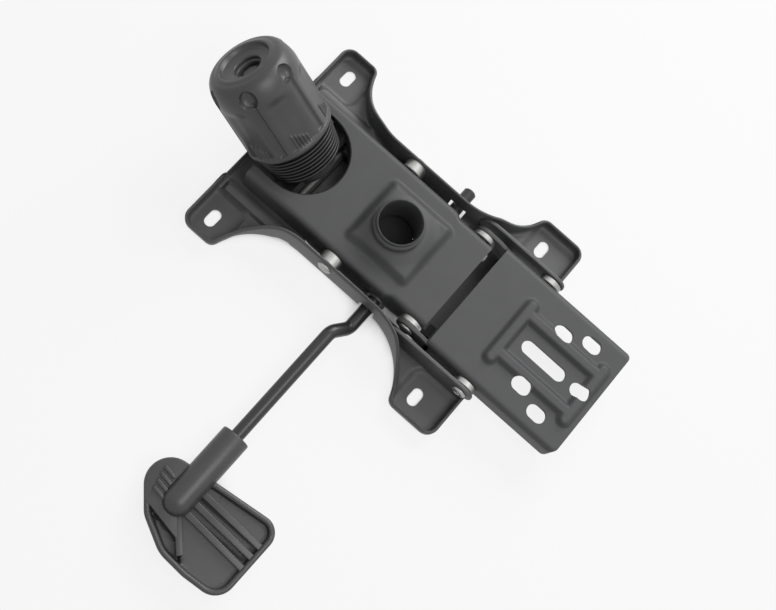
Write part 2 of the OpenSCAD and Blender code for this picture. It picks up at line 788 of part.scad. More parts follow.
// Rivets of the seat plate flanges
module pivot_a_rivets() {
    wall_in = housing_half_w - housing_t;
    color(zinc) both_sides() {
        x_rod(wall_in - rivet_tail_h, waist_half_w + eps, rivet_r, pivot_a_y, pivot_a_z);
        x_rod(waist_half_w, waist_half_w + rivet_head_h, rivet_head_r, pivot_a_y, pivot_a_z);
        x_rod(wall_in - rivet_tail_h, wall_in - face_gap, rivet_tail_r, pivot_a_y, pivot_a_z);
    }
}

// Spacers between the seat plate flanges and the housing
module pivot_a_spacers() {
    color(zinc) both_sides() difference() {
        x_rod(housing_half_w + face_gap, flange_in, spacer_r, pivot_a_y, pivot_a_z);
        x_rod(housing_half_w - 1, flange_in + 1, rivet_r, pivot_a_y, pivot_a_z);
    }
}

// Rivets of the bracket tabs
module pivot_b_rivets() {
    rear_in = housing_rear_half_w - housing_t;
    color(zinc) both_sides() {
        x_rod(rear_in - rivet_tail_h, bracket_half_w + eps, rivet_r, pivot_b_y, pivot_b_z);
        x_rod(bracket_half_w, bracket_half_w + rivet_head_h, rivet_head_r, pivot_b_y, pivot_b_z);
        x_rod(rear_in - rivet_tail_h, rear_in - face_gap, rivet_tail_r, pivot_b_y, pivot_b_z);
    }
}

// Washers between the bracket tabs and the housing
module pivot_b_washers() {
    color(zinc) both_sides() difference() {
        x_rod(housing_rear_half_w + face_gap, tab_in, washer_r, pivot_b_y, pivot_b_z);
        x_rod(housing_rear_half_w - 1, tab_in + 1, rivet_r, pivot_b_y, pivot_b_z);
    }
}

// Rivets of the seat plate ears
module pivot_c_rivets() {
    color(zinc) both_sides() {
        x_rod(tab_in - rivet_tail_h, ear_side + face_gap + eps, rivet_r, pivot_c_y, pivot_c_z);
        x_rod(ear_side + face_gap, ear_side + face_gap + rivet_head_h, rivet_head_r, pivot_c_y, pivot_c_z);
        x_rod(tab_in - rivet_tail_h, tab_in, rivet_tail_r, pivot_c_y, pivot_c_z);
    }
}

// Washers between the bracket sides and the ears
module pivot_c_washers() {
    color(zinc) both_sides() difference() {
        x_rod(bracket_half_w, ear_in - face_gap, washer_r, pivot_c_y, pivot_c_z);
        x_rod(bracket_half_w - 1, ear_in + 1, rivet_r, pivot_c_y, pivot_c_z);
    }
}

seat_plate();
housing();
socket_sleeve();
back_bracket();
spring_seat();
tension_bolt();
bolt_saddle();
tension_spring();
spring_boot();
thrust_washer();
tension_nut();
tension_knob();
lever_rod();
lever_paddle();
rod_bushes();
release_finger();
rod_clip();
lock_slider();
lock_catch();
pivot_a_rivets();
pivot_a_spacers();
pivot_b_rivets();
pivot_b_washers();
pivot_c_rivets();
pivot_c_washers();
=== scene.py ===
import bpy
import bmesh
import json
import math
from mathutils import Matrix, Vector
from mathutils.geometry import delaunay_2d_cdt


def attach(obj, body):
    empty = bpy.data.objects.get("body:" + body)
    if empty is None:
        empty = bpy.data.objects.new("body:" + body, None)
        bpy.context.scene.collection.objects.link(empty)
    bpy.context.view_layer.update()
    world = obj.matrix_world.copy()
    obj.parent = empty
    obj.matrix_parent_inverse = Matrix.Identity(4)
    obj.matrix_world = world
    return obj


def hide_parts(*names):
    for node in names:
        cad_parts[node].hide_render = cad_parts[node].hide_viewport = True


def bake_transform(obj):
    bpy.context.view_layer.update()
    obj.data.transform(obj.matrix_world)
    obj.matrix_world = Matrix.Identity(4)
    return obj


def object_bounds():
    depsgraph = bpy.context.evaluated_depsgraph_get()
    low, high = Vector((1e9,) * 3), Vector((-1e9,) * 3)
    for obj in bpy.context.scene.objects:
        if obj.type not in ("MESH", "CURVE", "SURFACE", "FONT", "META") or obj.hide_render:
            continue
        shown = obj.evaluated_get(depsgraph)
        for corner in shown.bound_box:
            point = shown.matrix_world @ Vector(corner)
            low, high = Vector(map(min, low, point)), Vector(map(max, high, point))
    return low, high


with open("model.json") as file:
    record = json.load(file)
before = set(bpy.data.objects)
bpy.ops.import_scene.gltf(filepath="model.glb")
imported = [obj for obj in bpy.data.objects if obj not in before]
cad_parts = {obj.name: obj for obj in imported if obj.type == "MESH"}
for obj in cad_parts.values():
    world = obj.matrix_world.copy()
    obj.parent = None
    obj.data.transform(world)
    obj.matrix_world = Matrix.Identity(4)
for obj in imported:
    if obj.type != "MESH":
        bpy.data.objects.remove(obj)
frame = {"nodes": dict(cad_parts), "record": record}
lo0, hi0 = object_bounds()
scene = bpy.context.scene
MM = 0.001


# Housing: a sheet steel channel, folded and powder coated, with a pressed square boss round the gas lift
# socket and a round opening for the knob. It is drawn in at the rear, inside the bracket's tabs.
HOUSING_Z, HOUSING_T, HOUSING_BEND = -18.0, 2.5, 4.0
HOUSING_FRONT, HOUSING_REAR, HOUSING_LOW = -94.0, 54.0, -44.5
HOUSING_HALF, JOGGLE_IN, JOGGLE_Y, STEP_RUN = 38.0, 2.5, 21.0, 6.0
FOOT_STEP, FOOT_STEP_Y, FOOT_RISE, FOOT_RISE_Y = 4.0, -36.0, 9.0, 30.0
BOSS_Y, BOSS_HALF, BOSS_BEVEL, BOSS_H, BOSS_RISE = 3.0, 26.3, 5.0, 5.0, 3.2
BOSS_CORNER, BOSS_TOP_R, BOSS_TOP_RUN = 4.5, 17.0, 11.0
NOSE_IN, NOSE_OUT, NOSE_LOW, NOSE_HIGH = 30.2, 37.5, -40.5, -19.5
KNOB_HOLE_Y, KNOB_HOLE_R = -77.0, 29.8
TUBE_R = 16.0


def finish(name, colour, rough, metal=0.0, grain=0.1, scale=1500.0, mottle=0.1):
    """A finish with a fine grain, a slight mottle in its colour and a changing gloss."""
    m = bpy.data.materials.new(name)
    m.use_nodes = True
    t = m.node_tree
    b = t.nodes["Principled BSDF"]
    b.inputs["Metallic"].default_value = metal
    place = t.nodes.new("ShaderNodeTexCoord")
    fine, broad = t.nodes.new("ShaderNodeTexNoise"), t.nodes.new("ShaderNodeTexNoise")
    for n, s, detail in ((fine, scale, 3), (broad, scale / 25, 5)):
        n.inputs["Scale"].default_value = s
        n.inputs["Detail"].default_value = detail
        t.links.new(place.outputs["Object"], n.inputs["Vector"])
    tint = t.nodes.new("ShaderNodeValToRGB")
    for stop, at, share in zip(tint.color_ramp.elements, (0.3, 0.7), (1 - mottle, 1 + mottle)):
        stop.position = at
        stop.color = (*(c * share for c in colour), 1)
    t.links.new(broad.outputs["Fac"], tint.inputs["Fac"])
    t.links.new(tint.outputs["Color"], b.inputs["Base Color"])
    gloss = t.nodes.new("ShaderNodeMapRange")
    gloss.inputs["To Min"].default_value = rough - 0.07
    gloss.inputs["To Max"].default_value = rough + 0.07
    t.links.new(broad.outputs["Fac"], gloss.inputs["Value"])
    t.links.new(gloss.outputs["Result"], b.inputs["Roughness"])
    bump = t.nodes.new("ShaderNodeBump")
    bump.inputs["Strength"].default_value = grain
    bump.inputs["Distance"].default_value = 0.0004
    t.links.new(fine.outputs["Fac"], bump.inputs["Height"])
    t.links.new(bump.outputs["Normal"], b.inputs["Normal"])
    return m


coat = finish("powder_coat", (0.064, 0.065, 0.067), 0.55, grain=0.06)
# A near-black copy of the coat, for painted shade: the housing's inside faces and the coated inner pieces
# take it.
painted_shade_coat = finish("painted_shade_dark", (0.008, 0.008, 0.009), 0.65, grain=0.1)


def ease(t):
    t = min(1.0, max(0.0, t))
    return t * t * (3 - 2 * t)


def round_box(x, y, cx, cy, hx, hy, r):
    """Distance from a rounded rectangle, negative inside."""
    dx, dy = abs(x - cx) - hx + r, abs(y - cy) - hy + r
    return math.hypot(max(dx, 0), max(dy, 0)) + min(max(dx, dy), 0) - r


def part(name, bm):
    """An object from a mesh drawn in millimetres."""
    bmesh.ops.scale(bm, vec=(MM, MM, MM), verts=bm.verts)
    me = bpy.data.meshes.new(name)
    bm.to_mesh(me)
    bm.free()
    o = bpy.data.objects.new(name, me)
    scene.collection.objects.link(o)
    return o


def facing_up(bm):
    """Turn an open sheet so that its faces look out of the mouth side."""
    bmesh.ops.recalc_face_normals(bm, faces=bm.faces)
    if sum(f.normal.z * f.calc_area() for f in bm.faces) < 0:
        bmesh.ops.reverse_faces(bm, faces=bm.faces)


def channel(name, ys, half, low, top_z, bend, lift, tops, walls=8, bends=6):
    """A folded channel: a grid bent to its cross section at each place along Y."""
    turn = [math.pi / 2 * k / bends for k in range(bends)]
    rows = []
    for y in ys:
        w, foot = half(y), low(y)
        wall = [foot + (top_z - bend - foot) * k / walls for k in range(walls)]
        side = [(w, z) for z in wall]
        side += [(w - bend + bend * math.cos(a), top_z - bend + bend * math.sin(a)) for a in turn]
        flat = [((bend - w) * (1 - 2 * k / tops), top_z) for k in range(tops + 1)]
        rows.append([(-x, z) for x, z in side] + flat + side[::-1])
    bm = bmesh.new()
    across, along = len(rows[0]) - 1, len(ys) - 1
    bmesh.ops.create_grid(bm, x_segments=across, y_segments=along, size=0.5)
    for v in bm.verts:
        j = round((v.co.y + 0.5) * along)
        x, z = rows[j][round((v.co.x + 0.5) * across)]
        v.co = (x, ys[j], z + (lift(x, ys[j]) if z > top_z - 0.01 else 0))
    facing_up(bm)
    return part(name, bm)


def applied(o):
    dg = bpy.context.evaluated_depsgraph_get()
    me = bpy.data.meshes.new_from_object(o.evaluated_get(dg))
    o.modifiers.clear()
    old, o.data = o.data, me
    bpy.data.meshes.remove(old)
    return o


def thick(o, t, even=True):
    k = o.modifiers.new("thick", "SOLIDIFY")
    k.thickness = t * MM
    k.offset = -1.0
    k.use_even_offset = even
    return applied(o)


def cut(o, *cutters):
    for c in cutters:
        k = o.modifiers.new("cut", "BOOLEAN")
        k.object = c
        k.operation = "DIFFERENCE"
        k.solver = "MANIFOLD"
    applied(o)
    for c in cutters:
        bpy.data.objects.remove(c)
    return o


def bevelled(o, width, segments=3, angle=40):
    k = o.modifiers.new("bevel", "BEVEL")
    k.width = width * MM
    k.segments = segments
    k.limit_method = "ANGLE"
    k.angle_limit = math.radians(angle)
    return applied(o)


def joined(name, *objs):
    bm = bmesh.new()
    for o in objs:
        bm.from_mesh(o.data)
    me = bpy.data.meshes.new(name)
    bm.to_mesh(me)
    bm.free()
    for o in objs:
        bpy.data.objects.remove(o)
    o = bpy.data.objects.new(name, me)
    scene.collection.objects.link(o)
    return o


def prism(name, outline, z0, z1):
    bm = bmesh.new()
    foot = bm.faces.new([bm.verts.new((x, y, z0)) for x, y in outline])
    top = bmesh.ops.extrude_face_region(bm, geom=[foot])["geom"]
    bmesh.ops.translate(bm, vec=(0, 0, z1 - z0), verts=[v for v in top if isinstance(v, bmesh.types.BMVert)])
    bmesh.ops.recalc_face_normals(bm, faces=bm.faces)
    return part(name, bm)


def block(name, x0, y0, z0, x1, y1, z1):
    return prism(name, [(x0, y0), (x1, y0), (x1, y1), (x0, y1)], z0, z1)


def arc(cx, cy, r, a0, a1, n=12):
    turns = [math.radians(a0 + (a1 - a0) * k / n) for k in range(n + 1)]
    return [(cx + r * math.cos(a), cy + r * math.sin(a)) for a in turns]


def turned(name, profile, steps=96, place=Matrix.Identity(4), dent=None, closed=False):
    """A shape spun about its own axis from a profile of radius and height."""
    bm = bmesh.new()
    ring = [bm.verts.new((r, 0, u)) for r, u in profile]
    edges = [bm.edges.new(pair) for pair in zip(ring, ring[1:] + ring[:1] if closed else ring[1:])]
    bmesh.ops.spin(bm, geom=ring + edges, cent=(0, 0, 0), axis=(0, 0, 1), angle=2 * math.pi, steps=steps,
                   use_merge=True)
    bmesh.ops.remove_doubles(bm, verts=bm.verts, dist=1e-4)
    bmesh.ops.recalc_face_normals(bm, faces=bm.faces)
    if dent:
        for v in bm.verts:
            r = math.hypot(v.co.x, v.co.y)
            q = 1 + dent(math.atan2(v.co.y, v.co.x), v.co.z, r) / r
            v.co.x, v.co.y = v.co.x * q, v.co.y * q
    bmesh.ops.transform(bm, matrix=place, verts=bm.verts)
    return part(name, bm)


def piece(o, name, look, body, slot, *nodes, angle=35):
    """Name a finished piece, shade it, hang it on its body if it has one and hide the solid parts it stands
    for.
    """
    o.name = o.data.name = name
    o.data.materials.clear()
    o.data.materials.append(look)
    for p in o.data.polygons:
        p.use_smooth = True
    o.data.set_sharp_from_angle(angle=math.radians(angle))
    if body:
        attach(o, body)
    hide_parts(*nodes)
    return o


def housing_half(y):
    return HOUSING_HALF - JOGGLE_IN * ease((y - JOGGLE_Y) / STEP_RUN)


def housing_low(y):
    if y < FOOT_STEP_Y:
        return HOUSING_LOW + FOOT_STEP * ease((FOOT_STEP_Y - y) / STEP_RUN)
    return HOUSING_LOW + FOOT_RISE * max(0.0, (y - FOOT_RISE_Y) / (HOUSING_REAR - FOOT_RISE_Y))


def boss_height(x, y):
    d = round_box(x, y, 0, BOSS_Y, BOSS_HALF, BOSS_HALF, BOSS_CORNER)
    share = min(1.0, max(0.0, -d / BOSS_BEVEL))
    side = 0.7 * share + 0.3 * ease(share)
    return side * (BOSS_H + BOSS_RISE * (1 - ease((math.hypot(x, y) - BOSS_TOP_R) / BOSS_TOP_RUN)))


ys = [HOUSING_FRONT + (HOUSING_REAR - HOUSING_FRONT) * k / 110 for k in range(111)]
house = channel("house", ys, housing_half, housing_low, HOUSING_Z, HOUSING_BEND, boss_height, tops=76)
thick(house, HOUSING_T)
mouth = [(-KNOB_HOLE_R, -99), (KNOB_HOLE_R, -99)] + arc(0, KNOB_HOLE_Y, KNOB_HOLE_R, 0, 180, 48)
cut(house, prism("knob_cut", mouth, -27, -5),
    prism("tube_cut", arc(0, 0, TUBE_R, 0, 360, 64)[:-1], -40, 5))
lip_profile = [(30.6, -20.3), (29.8, -18.6), (29.3, -18.15), (28.8, -19), (28.8, -27), (29.8, -27),
               (30.6, -22)]
bm = bmesh.new()
ring = [bm.verts.new((r, 0, z)) for r, z in lip_profile]
edges = [bm.edges.new(pair) for pair in zip(ring, ring[1:] + ring[:1])]
bmesh.ops.spin(bm, geom=ring + edges, cent=(0, 0, 0), axis=(0, 0, 1), angle=math.pi, steps=48)
bmesh.ops.holes_fill(bm, edges=[e for e in bm.edges if e.is_boundary])
bmesh.ops.recalc_face_normals(bm, faces=bm.faces)
bmesh.ops.translate(bm, vec=(0, KNOB_HOLE_Y, 0), verts=bm.verts)
lip = part("lip", bm)
nose = []
for side in (-1, 1):
    x0, x1 = sorted((side * NOSE_IN, side * NOSE_OUT))
    front = block("nose", x0, HOUSING_FRONT, NOSE_LOW, x1, HOUSING_FRONT + HOUSING_T, NOSE_HIGH)
    nose.append(bevelled(front, 0.6))
house = piece(joined("house", house, lip, *nose), "housing_stamping", coat, "housing", "coated_steel",
              "housing", angle=40)
# The faces that look down or in towards the middle take the near-black coat: painted shade inside the
# channel.
house.data.materials.append(painted_shade_coat)
for p in house.data.polygons:
    if p.normal.z < -0.3 or p.normal.x * p.center.x < -0.3 * abs(p.center.x):
        p.material_index = 1


# Gas lift socket: a steel tube welded into the boss, with a turned collar below its rounded mouth and a
# slight taper inside that grips the gas lift.
tube = [(13.55, -30), (13.98, -12), (14.0, -1.3), (14.3, -0.4), (14.8, 0), (15.2, -0.25), (15.4, -0.9),
        (15.4, -3.1), (15.2, -3.6), (16.3, -3.9), (16.9, -4.5), (17.0, -5.2), (17.0, -10.4), (16.0, -11.0),
        (16.0, -30)]
piece(turned("tube", tube, closed=True), "socket_tube", coat, "housing", "coated_steel", "socket_sleeve")


# Seat plate: one deep pressing with a turned-up rim, four sunk corner pads with slots, raised lands beside
# the front pads, tall flanges slotted for the bar and two upright ears for the rear pivots.
# The seat plate's coat is a lighter copy of the housing's powder coat: painted light that lifts its sunk pads
# out of their shade.
seat_coat_painted_light = finish("seat_coat_painted_light", (0.11, 0.111, 0.113), 0.5, grain=0.06)
PAD_Z, PLATE_Z, SEAT_T, RIM_Z, FLANGE_Z = -45.0, -42.5, 2.0, -36.0, -17.0
EAR_IN, EAR_OUT = 47.0, 49.5
SCREW_X, SCREW_Y, SCREW_MID, SCREW_L, SCREW_W = 67, 87, -7, 13, 8
REAR_CUT_HALF, REAR_CUT_Y, BAR_SLOT_Y0, BAR_SLOT_Y1, BAR_SLOT_TOP = 46, 64.5, 12.6, 25.4, -31.4


def inside(p, loop):
    x, y = p
    hit = False
    for (x0, y0), (x1, y1) in zip(loop, loop[1:] + loop[:1]):
        if (y0 > y) != (y1 > y) and x < x0 + (y - y0) * (x1 - x0) / (y1 - y0):
            hit = not hit
    return hit


def spaced(loop, step):
    """The same closed outline with points an even step apart."""
    run = [math.dist(a, b) for a, b in zip(loop, loop[1:] + loop[:1])]
    n = round(sum(run) / step)
    gap, out, k, done = sum(run) / n, [], 0, 0.0
    for i in range(n):
        while done + run[k] < i * gap:
            done += run[k]
            k += 1
        (x0, y0), (x1, y1) = loop[k], loop[(k + 1) % len(loop)]
        t = (i * gap - done) / run[k] if run[k] else 0
        out.append((x0 + (x1 - x0) * t, y0 + (y1 - y0) * t))
    return out


def drawn_in(loop, t):
    out = []
    for k, p in enumerate(loop):
        a, b = loop[k - 1], loop[(k + 1) % len(loop)]
        s = math.dist(a, b)
        out.append((p[0] - t * (b[1] - a[1]) / s, p[1] + t * (b[0] - a[0]) / s))
    return out


def tray(name, loop, rows, level, holes, step):
    """A pressed sheet: rows of (inset, height) from the rim inwards, then a floor at its level with holes."""
    bm = bmesh.new()
    last = None
    for inset, height in rows:
        ring = [bm.verts.new((x, y, height(x, y))) for x, y in drawn_in(loop, inset)]
        if last:
            for k in range(len(ring)):
                bm.faces.new((last[k - 1], last[k], ring[k], ring[k - 1]))
        last = ring
    edge = drawn_in(loop, rows[-1][0])
    pts, edges = [], []
    for ring in [edge] + holes:
        first = len(pts)
        pts += [Vector(p) for p in ring]
        edges += [(first + k, first + (k + 1) % len(ring)) for k in range(len(ring))]
    clear = drawn_in(edge, step * 0.6)
    (x0, x1), (y0, y1) = ((min(c), max(c)) for c in zip(*edge))
    for i in range(int((x1 - x0) / step)):
        for j in range(int((y1 - y0) / step)):
            p = (x0 + step * (i + 0.5), y0 + step * (j + 0.5))
            if inside(p, clear) and not any(inside(p, h) for h in holes):
                if all(math.dist(p, q) > step * 0.6 for h in holes for q in h):
                    pts.append(Vector(p))
    flat, _, tris, *_ = delaunay_2d_cdt(pts, edges, [], 0, 1e-5)
    floor = [bm.verts.new((p.x, p.y, level(p.x, p.y))) for p in flat]
    for f in tris:
        c = (sum(flat[i].x for i in f) / 3, sum(flat[i].y for i in f) / 3)
        if inside(c, edge) and not any(inside(c, h) for h in holes):
            bm.faces.new([floor[i] for i in f])
    bmesh.ops.remove_doubles(bm, verts=bm.verts, dist=1e-3)
    bmesh.ops.delete(bm, geom=[v for v in bm.verts if not v.link_faces], context="VERTS")
    facing_up(bm)
    return part(name, bm)


def stadium(cx, cy, length, width, lengthwise):
    run, r = (length - width) / 2, width / 2
    if lengthwise:
        return arc(cx, cy + run, r, 0, 180)[:-1] + arc(cx, cy - run, r, 180, 360)[:-1]
    return arc(cx + run, cy, r, -90, 90)[:-1] + arc(cx - run, cy, r, 90, 270)[:-1]


def side_plate(name, outline, x0, x1):
    """A flat plate standing along Y, drawn in its own plane."""
    o = prism(name, outline, min(x0, x1), max(x0, x1))
    o.data.transform(Matrix(((0, 0, 1, 0), (1, 0, 0, 0), (0, 1, 0, 0), (0, 0, 0, 1))))
    return o


def seat_level(x, y):
    pad = min(round_box(abs(x), y, 72, -97, 20, 17, 6), round_box(abs(x), y, 71, 89, 20, 19, 6))
    land = round_box(abs(x), y, 45.3, -74, 5.3, 29.5, 4)
    sunk = ease((y - 32) / 6) * ease((48 - abs(x)) / 2)
    return PAD_Z + (PLATE_Z - PAD_Z) * ease(pad / 3.0) * (1 - sunk) + 3.0 * ease(-land / 2.6)


def rim_top(x, y):
    z = RIM_Z + (FLANGE_Z - RIM_Z) * ease((y + 84) / 34) * ease((66 - y) / 22)
    return z - 6.0 * ease((44 - abs(x)) / 6) * (1 if y < -100 else 0)


def rim_share(share):
    return lambda x, y: seat_level(x, y) + 3 + share * (rim_top(x, y) - seat_level(x, y) - 3)


def above_floor(up):
    return lambda x, y: seat_level(x, y) + up


half = arc(75, -100, 8, -90, 0) + arc(77, -85.85, 6, 0, 73.1) + arc(91.5, -38, 44, 253.1, 180, 40)
half += arc(96.5, 21, 49, 180, 111.5, 40) + arc(76, 73.1, 7, -68.5, 0) + arc(75, 96, 8, 0, 90)
seat_loop = spaced(half + [(-x, y) for x, y in reversed(half)], 1.4)
rows = [(1.3, rim_top), (2.0, lambda x, y: rim_top(x, y) - 0.5)]
rows += [(2.0, rim_share(s)) for s in (0.7, 0.45, 0.2)]
FLOOR_BEND = ((2.0, 3.0), (2.3, 1.7), (2.9, 0.7), (3.8, 0.15), (4.6, 0.0))
rows += [(inset, above_floor(up)) for inset, up in FLOOR_BEND]
holes = [stadium(sx * SCREW_X, SCREW_MID + sy * SCREW_Y, SCREW_L, SCREW_W, False)
         for sx in (-1, 1) for sy in (-1, 1)]
window = arc(34, -36, 6, -90, 0, 6) + arc(37, 53, 3, 0, 90, 4)
window += [(33, 56), (32, 55), (31.5, 53), (30, 51.5)]
holes.append(spaced(window + [(-x, y) for x, y in reversed(window)], 2.0))
seat = thick(tray("seat", seat_loop, rows, seat_level, holes, 1.8), SEAT_T, even=False)
cut(seat, block("rear_cut", -REAR_CUT_HALF, REAR_CUT_Y, -60, REAR_CUT_HALF, 120, -10),
    block("bar_slot", 39, BAR_SLOT_Y0, -60, 52, BAR_SLOT_Y1, BAR_SLOT_TOP),
    block("bar_slot", -52, BAR_SLOT_Y0, -60, -39, BAR_SLOT_Y1, BAR_SLOT_TOP))
ear = [(41, -46.5), (37, -36), (36, -29), (37.5, -23.5), (41.5, -20), (47, -18.4), (53, -18)]
ear += arc(97.5, -27, 9, 90, -50, 16) + [(104, -40), (104, -46.5)]
ears = [bevelled(side_plate("ear", ear, s * EAR_IN, s * EAR_OUT), 0.7) for s in (-1, 1)]
piece(joined("seat", seat, *ears), "seat_plate_stamping", seat_coat_painted_light, "seat", "coated_steel", "seat_plate",
      angle=40)


# Back bracket: a folded steel channel whose face carries a pressed frame of round ribs, slots for the back
# rest's bolts and, at the front, the two tabs that hang on the housing.
BRACKET_Z, BRACKET_T, BRACKET_HALF, BRACKET_LOW = -18.0, 3.0, 42.5, -36.0
BRACKET_FRONT, BRACKET_REAR, CORNER_R, RIB_H = 62.0, 167.5, 5.0, 3.8


def rib_height(x, y):
    d = min(round_box(x, y, 0, 97.5, 27.6, 6.0, 5.9), round_box(x, y, 0, 158.6, 26.6, 6.0, 5.9),
            round_box(abs(x), y, 16.0, 128, 5.9, 31, 2.0))
    return RIB_H * ease(-d / 4.0)


ys = [BRACKET_FRONT + (BRACKET_REAR - BRACKET_FRONT) * k / 130 for k in range(131)]
brace = channel("brace", ys, lambda y: BRACKET_HALF, lambda y: BRACKET_LOW, BRACKET_Z, 4.5,
                rib_height, 100, walls=4)
thick(brace, BRACKET_T)
slots = [stadium(s * 22.3, 124.5, 14, 10, True) for s in (-1, 1)]
slots += [stadium(s * 29.5, 143, 14, 10, True) for s in (-1, 1)]
slots += [stadium(0, 125.5, 35, 10, True), stadium(0, 155.5, 14, 10, True)]
cutters = [prism("slot", s, -30, -8) for s in slots]
for s in (-1, 1):
    rim = arc(BRACKET_HALF - CORNER_R, BRACKET_REAR - CORNER_R, CORNER_R, 0, 90, 8)
    corner = [(BRACKET_HALF + 2, BRACKET_REAR - CORNER_R)] + rim
    corner += [(BRACKET_HALF - CORNER_R, BRACKET_REAR + 2), (BRACKET_HALF + 2, BRACKET_REAR + 2)]
    cutters.append(prism("corner", [(s * x, y) for x, y in corner], -40, -10))
cut(brace, *cutters)
tab = arc(46, -26, 8, 90, 270, 18)
tab += [(57, -34), (62, -35.9), (66, -35.9), (66, -22), (62, -20.4), (56, -18.6)]
tabs = [bevelled(side_plate("tab", tab, s * (BRACKET_HALF - BRACKET_T), s * BRACKET_HALF), 0.7)
        for s in (-1, 1)]
piece(joined("brace", brace, *tabs), "back_bracket_stamping", coat, "back", "coated_steel", "back_bracket",
      angle=40)


# Pivots: zinc-plated rivets with low heads outside the sheets and thick turned washers between them, which
# keep the sheets apart.
zinc = finish("zinc_plate", (0.38, 0.38, 0.37), 0.42, metal=1.0, grain=0.05, scale=900)
HEAD_R, HEAD_H, SHANK_R, TAIL_R = 5.2, 1.8, 4.0, 5.0


def along_x(y, z, side):
    turn = Matrix(((0, 0, side, 0), (0, 1, 0, 0), (-side, 0, 0, 0), (0, 0, 0, 1)))
    return Matrix.Translation((0, y, z)) @ turn


def pivot(label, body, y, z, inner, outer, low, high, washer_r, washers):
    head = [(0, outer + HEAD_H), (1.2, outer + HEAD_H - 0.05), (1.5, outer + HEAD_H - 0.35),
            (2.4, outer + HEAD_H - 0.4), (2.8, outer + HEAD_H - 0.05), (3.9, outer + HEAD_H - 0.2),
            (HEAD_R - 0.3, outer + 0.9), (HEAD_R, outer + 0.3), (HEAD_R, outer), (SHANK_R, outer),
            (SHANK_R, inner + 1.7), (TAIL_R, inner + 1.7), (TAIL_R, inner + 0.4),
            (TAIL_R - 0.6, inner), (0, inner)]
    ring = [(SHANK_R, low), (washer_r - 0.5, low), (washer_r, low + 0.5), (washer_r, high - 0.5),
            (washer_r - 0.5, high), (SHANK_R, high)]
    rivets = [turned("rivet", head, 48, along_x(y, z, s)) for s in (1, -1)]
    piece(joined("rivets", *rivets), "rivets_" + label, zinc, body, "zinc_steel", "pivot_%s_rivets" % label)
    rings = [turned("washer", ring, 64, along_x(y, z, s), closed=True) for s in (1, -1)]
    piece(joined("washers", *rings), washers + "_" + label, zinc, body, "zinc_steel",
          "pivot_%s_%s" % (label, washers))


pivot("a", "seat", -18, -26, 33.5, 47.5, 38.3, 45.5, 7.4, "spacers")
pivot("b", "back", 46, -26, 31.0, 42.5, 35.8, 39.5, 8.0, "washers")
pivot("c", "back", 97.5, -27, 37.5, 49.8, 42.5, 46.7, 8.0, "washers")


# Tension knob: a moulded black grip with a pocket, a flute and shallow hollows six times round, fine ribs
# at its foot and a stepped hole in its dished top for the end of the bolt.
plastic = finish("black_plastic", (0.068, 0.068, 0.07), 0.36, grain=0.1, scale=2200)
LEAN = Matrix.Translation((0, -81.3, -20.6)) @ Matrix.Rotation(math.radians(45), 4, "X")
KNOB_LOW, KNOB_TOP, KNOB_R, SHOULDER_R, SHOULDER_U = 13.8, 73.4, 29.3, 28.7, 58.0
BAND_U, POCKET_U, POCKET_R, FLUTE_AT, SIXTH = 17.8, 63.5, 5.7, math.radians(45), math.pi / 3
FLUTE_HALF, RIB_PITCH, RIB_TOP = 2.5, 2.3, 27.0
HOLLOW_DEEP, FLUTE_DEEP, POCKET_DEEP, FINE_RIB = 1.5, 1.7, 4.4, 0.9


def knob_dent(a, u, r):
    if r < 20 or u < BAND_U:
        return 0.0
    turn = (a - FLUTE_AT + SIXTH / 2) % SIXTH - SIXTH / 2
    s = turn * KNOB_R
    foot = ease((u - BAND_U) / 0.8)
    fade = ease((SHOULDER_U - u) / 7) * foot
    d = -HOLLOW_DEEP * ease((1 - math.cos(6 * turn)) / 2) * fade
    d -= FLUTE_DEEP * max(0.0, 1 - (s / FLUTE_HALF) ** 4) * ease((POCKET_U - 3.5 - u) / 2) * foot
    q = math.hypot(s, (u - POCKET_U) * 0.95) / POCKET_R
    if q < 1:
        d -= POCKET_DEEP * math.sqrt(1 - q * q)
    m = (SIXTH / 2 - abs(turn)) * KNOB_R * (1 if turn > 0 else -1)
    k = round(m / RIB_PITCH)
    top = RIB_TOP + 1.3 * k
    if abs(k) <= 2 and u < top:
        d += FINE_RIB * ease(1.6 - abs(m - RIB_PITCH * k) / 0.55) * fade * ease((top - u) / 2.0)
    return d


grip = [(18.3, 34), (18.3, 24.6), (27.4, 24), (27.4, 14.4), (27.8, KNOB_LOW), (28.7, KNOB_LOW), (29.2, 14.2),
        (29.4, 15), (29.4, 16.6), (29.1, 17.2), (28.9, 17.6)]
grip += [(KNOB_R - (KNOB_R - SHOULDER_R) * k / 66, BAND_U + (SHOULDER_U - BAND_U) * k / 66)
         for k in range(67)]
for k in range(1, 40):
    a = math.pi / 2 * k / 40
    grip.append((20.8 + (SHOULDER_R - 20.8) * math.cos(a) ** 0.85, SHOULDER_U + 14.4 * math.sin(a)))
grip += [(20.2, 72.7), (19.0, 73.2), (18.0, KNOB_TOP), (17.2, 73.2), (16.9, 72.6), (16.4, 70.5), (15.8, 70.0),
         (10.2, 69.7), (9.3, 69.3), (9.0, 68.6), (8.9, 66.8), (8.3, 66.5), (7.9, 66.1), (7.8, 63.0),
         (6.8, 62.7), (6.6, 59.5), (5.4, 59.5)]
piece(turned("grip", grip, 420, LEAN, knob_dent), "knob_grip", plastic, "knob", "black_plastic",
      "tension_knob", angle=50)
